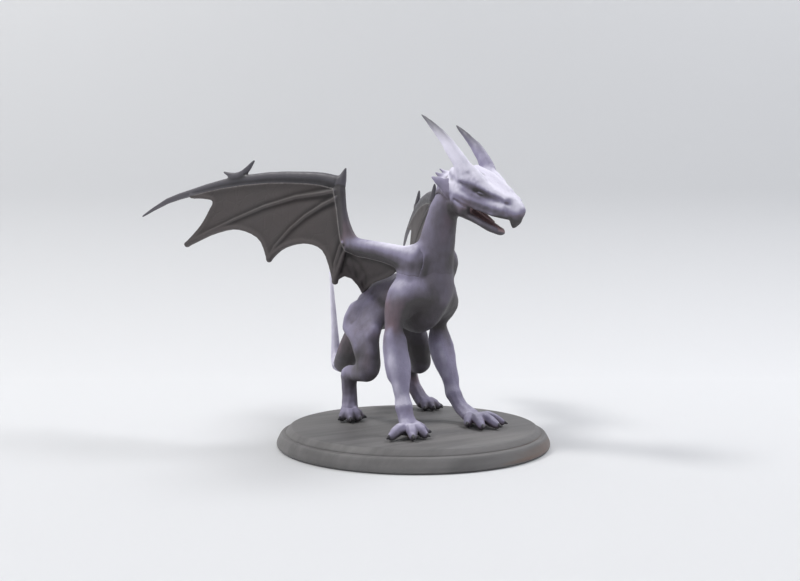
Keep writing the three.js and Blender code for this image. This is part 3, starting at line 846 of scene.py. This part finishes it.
class HeadFrame:
    """The head's own directions in mm, from its horns and skull: f forward, s to its left, u up."""

    dip = math.radians(25)
    skull_back, skull_top = -0.89, 6.7

    def __init__(self):
        middle = {side: points_of(f"horn_{side}").mean(axis=0) for side in SIDES}
        left = (middle["left"] - middle["right"]) * (1, 1, 0)
        self.left = left / np.linalg.norm(left)
        level = np.array([self.left[1], -self.left[0], 0])
        self.forward = level * math.cos(self.dip) - np.array([0, 0, math.sin(self.dip)])
        self.up = level * math.sin(self.dip) + np.array([0, 0, math.cos(self.dip)])
        skull = points_of("skull")
        across = (middle["left"] + middle["right"]) / 2 @ self.left
        back, top = (skull @ self.forward).min(), (skull @ self.up).max()
        self.origin = (
            self.forward * (back - self.skull_back) + self.left * across + self.up * (top - self.skull_top)
        )

    def axes(self, zone):
        """f, |s| and u at a zone's voxels, so that what is added is added on both sides."""
        x, y, z = zone.axes()
        ways = (self.forward, self.left, self.up)
        f, s, u = (
            sum((line - self.origin[i]) * way[i] for i, line in enumerate((x, y, z))).astype(np.float32)
            for way in ways
        )
        return f, np.abs(s), u

    def of(self, points):
        offset = points - self.origin
        return offset @ self.forward, np.abs(offset @ self.left), offset @ self.up


# Ridges of the skull: points in the head's frame and a radius at each, joined in turn.
BROW = (
    (5.5, 4.3, 3.7, 0.7),
    (9.7, 4.9, 3.3, 0.8),
    (13.4, 4.9, 3.0, 0.8),
    (18.3, 4.0, 2.5, 0.65),
    (22.8, 2.9, 2.1, 0.45),
)
CHEEK = (
    (5.5, 4.0, -1.0, 0.9),
    (10, 4.6, -1.0, 0.9),
    (14, 4.4, -1.1, 0.8),
    (19, 3.3, -1.0, 0.7),
    (23, 2.4, -0.8, 0.5),
)
UPPER_LIP = (
    (9, 4.4, -2.7, 0.4),
    (13, 4.1, -2.7, 0.45),
    (17, 3.5, -2.6, 0.45),
    (20.8, 2.8, -2.6, 0.45),
    (24.4, 1.9, -1.9, 0.45),
)
CREST = ((9, 0, 6.2, 0.6), (15, 0, 5.8, 0.5), (21, 0, 3.9, 0.4))
JAW_LINE = ((12.5, 3.3, -5.2, 0.55), (15, 3.2, -5.4, 0.5), (18, 2.7, -5.7, 0.5), (22.2, 1.3, -5.9, 0.5))
BROW_GROOVE = (
    (10.5, 6.0, 1.9, 0.3),
    (13.4, 6.1, 1.5, 0.7),
    (18.3, 5.05, 1.15, 0.6),
    (22.6, 3.9, 1.05, 0.3),
)
JAW_CORNER = ((9.5, 4.0, -2.2, 0.7), (12, 3.6, -4.2, 0.6))
MOUTH_LINE = ((9.8, 5.3, -2.8, 0.3), (12.5, 5.0, -3.3, 0.4), (16.5, 4.4, -3.7, 0.45))


def ridge(surface, head, line, fillet, add=True):
    rods = [capsule(head, start, end, a, b) for (*start, a), (*end, b) in zip(line, line[1:])]
    rod = np.minimum.reduce(rods)
    return join(surface, rod, fillet) if add else carve(surface, rod, fillet)


def skull_form(field, head):
    skull = ridge(field, head, CREST, 1.8)
    skull = ridge(skull, head, BROW, 2.4)
    skull = ridge(skull, head, CHEEK, 2.2)
    skull = ridge(skull, head, BROW_GROOVE, 1.0, add=False)
    skull = ridge(skull, head, UPPER_LIP, 1.4)
    skull = carve(skull, ellipsoid(head, (16.2, 5.1, 1.15), (1.9, 0.8, 0.55)), 0.3)
    skull = join(skull, ellipsoid(head, (16.3, 4.3, 1.1), (1.2, 0.55, 0.3)), 0.1)
    skull = carve(skull, ellipsoid(head, (24.3, 2.9, 1.0), (0.9, 0.6, 0.35)), 0.4)
    skull = carve(skull, capsule(head, (13.0, 0, -4.2), (22.0, 0, -3.7), 1.8, 1.1), 0.6)
    for i in range(3):
        start, end = (3.6 - i * 0.7, 2.2 + i, 2.0 - i * 1.1), (-0.6, 2.6 + i, 2.6 - i * 1.2)
        skull = join(skull, capsule(head, start, end, 0.9, 0.22), 1.0)
    return skull


def head_pieces():
    paired = [f"{part}_{side}" for part in ("horn", "cheek_frill") for side in SIDES]
    names = ["skull", "lower_jaw", "tongue", *paired]
    zone = Zone(names, 0.14, margin=1.5)
    fields = {n: zone.node(n) for n in [*names, "neck", "head_pin"]}
    frame_of_head = HeadFrame()
    head = frame_of_head.axes(zone)
    skull = skull_form(blur(fields["skull"], 0.45 / zone.voxel), head)
    jaw = blur(fields["lower_jaw"], 0.35 / zone.voxel) - 0.05
    jaw = ridge(jaw, head, JAW_LINE, 0.7)
    jaw = carve(jaw, capsule(head, (13, 0, -4.2), (21.4, 0, -5.3), 2.2, 0.9), 0.5)
    hinge = 0.05 + 3.4 * (1 - smooth_step(head[0], 12, 16.5))
    surface = ridge(join(skull, jaw, hinge), head, JAW_CORNER, 2.0)
    surface = ridge(surface, head, MOUTH_LINE, 0.5, add=False)
    for side in SIDES:
        horn = blur(fields[f"horn_{side}"], 0.25 / zone.voxel) - 0.08
        surface = join(surface, horn, 2.2)
        surface = join(surface, blur(fields[f"cheek_frill_{side}"], 0.25 / zone.voxel), 1.4)
    surface = join(surface, fields["neck"], 1.8)
    surface = np.minimum(surface, blur(fields["tongue"], 0.15 / zone.voxel))
    surface = blur(surface, 0.16 / zone.voxel)
    surface += 0.05 * lumps(zone, 2.2, 31) + 0.02 * lumps(zone, 0.8, 32)

    def material_of(name):
        return FLESH if name == "tongue" else HIDE

    def masks(name, points):
        group = ["skull", "lower_jaw", "neck", "horn_right", "horn_left"]
        result = blended_paint(zone, fields, group if name in group else [name], name, points)
        f, s, u = frame_of_head.of(points)
        if name.startswith("horn"):
            result["bare"] = 0.85 * smooth_step(u, 9, 14)
        eye = 1 - smooth_step(np.hypot((f - 16.3) / 1.4, (u - 1.1) / 0.5), 0.75, 1.1)
        result["bare"] = 0.5 * eye * smooth_step(s, 3.5, 4) if name == "skull" else result["bare"]
        inside = 1 - smooth_step(s - (3.3 - 0.16 * (f - 12)), -0.5, 0)
        between = smooth_step(u, -6.2, -5.6) * (1 - smooth_step(u, -2.6, -2.1))
        result["flesh"] = inside * between * smooth_step(f, 10.5, 12) * (1 - smooth_step(f, 24.0, 24.6))
        nape = 1 - smooth_step(f, 1.5, 5.5)
        beak = smooth_step(f, 20, 25) * (1 - smooth_step(u, -3.0, 0))
        # Painted shade under the brow and on the side of the face below it.
        socket = 1 - smooth_step(np.hypot((f - 15.5) / 6.5, (u - 0.8) / 1.8), 0.35, 1)
        lip_shade = smooth_step(f, 10, 17) * (1 - smooth_step(u, -2.2, 0.4))
        if name == "skull":
            result["cover_and_light"] = result["cover_and_light"] - 0.45 * nape - 0.5 * beak - 0.5 * socket - 0.3 * lip_shade
        return result

    sculpt(zone, fields, surface, names, material_of, masks, soften=0.7)


def wing_pieces():
    for side in SIDES:
        names = [f"{part}_{side}" for part in WING_PARTS]
        zone = Zone(names, 0.24, margin=1.5)
        context = ["torso", "neck", f"foreleg_{side}"]
        fields = {n: zone.node(n) for n in names + context}
        finger, skin, thumb, knuckle = (fields[n] for n in names[1:])
        surface = trunk(zone, fields, [f"wing_arm_{side}"], [f"foreleg_{side}"])
        surface = join(surface, blur(finger, 0.18 / zone.voxel) - 0.1, 1.2)
        relief = skin + 0.9 * (skin - blur(skin, 1.1 / zone.voxel)) - 0.04
        surface = join(surface, relief, 0.7)
        for claw in (thumb, knuckle):
            surface = join(surface, claw - 0.14, 1.1)
        surface = blur(surface, 0.16 / zone.voxel)
        elbow = np.median(points_of(f"wing_arm_{side}")[:, 2])

        def material_of(name):
            if name.startswith("wing_arm"):
                return HIDE
            return SKIN if name.startswith("wing_membrane") else CLAW

        def masks(name, points, zone=zone, fields=fields, side=side, elbow=elbow):
            group = ["torso", "neck", f"foreleg_{side}", f"wing_arm_{side}"]
            result = blended_paint(zone, fields, group if name in group else [name], name, points)
            if name.startswith("wing_arm"):
                forearm = smooth_step(points[:, 2], elbow + 1, elbow + 6)
                result["cover_and_light"] = result["cover_and_light"] - 0.3 * forearm
                result["spray_and_highlight"] = result["spray_and_highlight"] * (1 - 0.85 * forearm)
            if name.startswith("wing_membrane"):
                edges = [f"wing_arm_{side}", f"wing_finger_{side}"]
                result["seam"] = pale_line(zone, fields, edges, points)
            return result

        sculpt(zone, fields, surface, names, material_of, masks, soften=0.9, rounds=3)


# ------------------------------------------------------------------------------
# The base
# ------------------------------------------------------------------------------


def lathe(name, node, profile, material, segments=256):
    """A closed turned solid from (radius, height) in mm; the profile starts and ends on the axis."""
    ring = np.array(profile[1:-1])
    angles = np.linspace(0, 2 * math.pi, segments, endpoint=False)
    points = [(r * math.cos(a), r * math.sin(a), z) for r, z in ring for a in angles]
    bottom, top = len(points), len(points) + 1
    points += [(0, 0, profile[0][1]), (0, 0, profile[-1][1])]
    faces = []
    for i in range(len(ring) - 1):
        low, high = i * segments, (i + 1) * segments
        for k in range(segments):
            nxt = (k + 1) % segments
            faces.append((low + k, low + nxt, high + nxt, high + k))
    last = (len(ring) - 1) * segments
    faces += [((k + 1) % segments, k, bottom) for k in range(segments)]
    faces += [(last + k, last + (k + 1) % segments, top) for k in range(segments)]
    mesh = bpy.data.meshes.new(name)
    mesh.from_pydata([(x * MM, y * MM, z * MM) for x, y, z in points], [], faces)
    mesh.polygons.foreach_set("use_smooth", [True] * len(faces))
    piece = bpy.data.objects.new(name, mesh)
    bpy.context.scene.collection.objects.link(piece)
    piece.data.materials.append(material)
    stand_in(piece, node)


def rounded(corners, radius, steps=6):
    """A profile whose inner corners are rounded by that radius."""
    result = [corners[0]]
    for before, corner, after in zip(corners, corners[1:], corners[2:]):
        corner = np.array(corner, float)
        ways = []
        for other in (before, after):
            way = np.array(other, float) - corner
            reach = min(radius, 0.45 * np.linalg.norm(way))
            ways.append(corner + way / np.linalg.norm(way) * reach)
        for i in range(steps + 1):
            t = i / steps
            point = (1 - t) ** 2 * ways[0] + 2 * t * (1 - t) * corner + t * t * ways[1]
            result.append(tuple(point))
    return [*result, corners[-1]]


def base_pieces():
    material = base_material()
    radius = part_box("base_plinth")[1].x / MM
    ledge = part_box("base_plinth")[1].z / MM
    plate_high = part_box("base_plate")[1]
    plate_radius, plate_top = plate_high.x / MM, plate_high.z / MM
    washer_low, washer_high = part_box("ballast_washer")
    pocket_radius, pocket_floor = washer_high.x / MM + 0.3, washer_low.z / MM - 0.1
    plinth = [
        (0, 0),
        (radius - 0.55, 0),
        (radius, 0.55),
        (radius, 1.3),
        (radius - 0.75, 2.9),
        (radius - 1.25, ledge),
        (pocket_radius, ledge),
        (pocket_radius, pocket_floor),
        (0, pocket_floor),
    ]
    lathe("base_plinth_turned", "base_plinth", rounded(plinth, 0.45), material)
    plate = [
        (0, ledge - 0.06),
        (plate_radius, ledge - 0.06),
        (plate_radius - 0.2, ledge + 0.3),
        (plate_radius - 1.15, plate_top - 0.2),
        (plate_radius - 1.6, plate_top),
        (0, plate_top),
    ]
    lathe("base_plate_turned", "base_plate", rounded(plate, 0.3), material)


make_camera()
make_studio()
make_floor()

HIDE = hide_material()
FLESH = flesh_material()
SKIN = membrane_material()
CLAW = claw_material()
body_pieces()
paw_pieces()
tail_pieces()
head_pieces()
wing_pieces()
base_pieces()

BRASS = metal_material("brass_pin", (0.62, 0.45, 0.18), (0.5, 0.35, 0.13), 0.32)
STEEL = metal_material("steel_ballast", (0.5, 0.5, 0.51), (0.38, 0.38, 0.4), 0.4)
for pin in PINS:
    frame["nodes"][pin].data.materials.clear()
    frame["nodes"][pin].data.materials.append(BRASS)
frame["nodes"]["ballast_washer"].data.materials.clear()
frame["nodes"]["ballast_washer"].data.materials.append(STEEL)
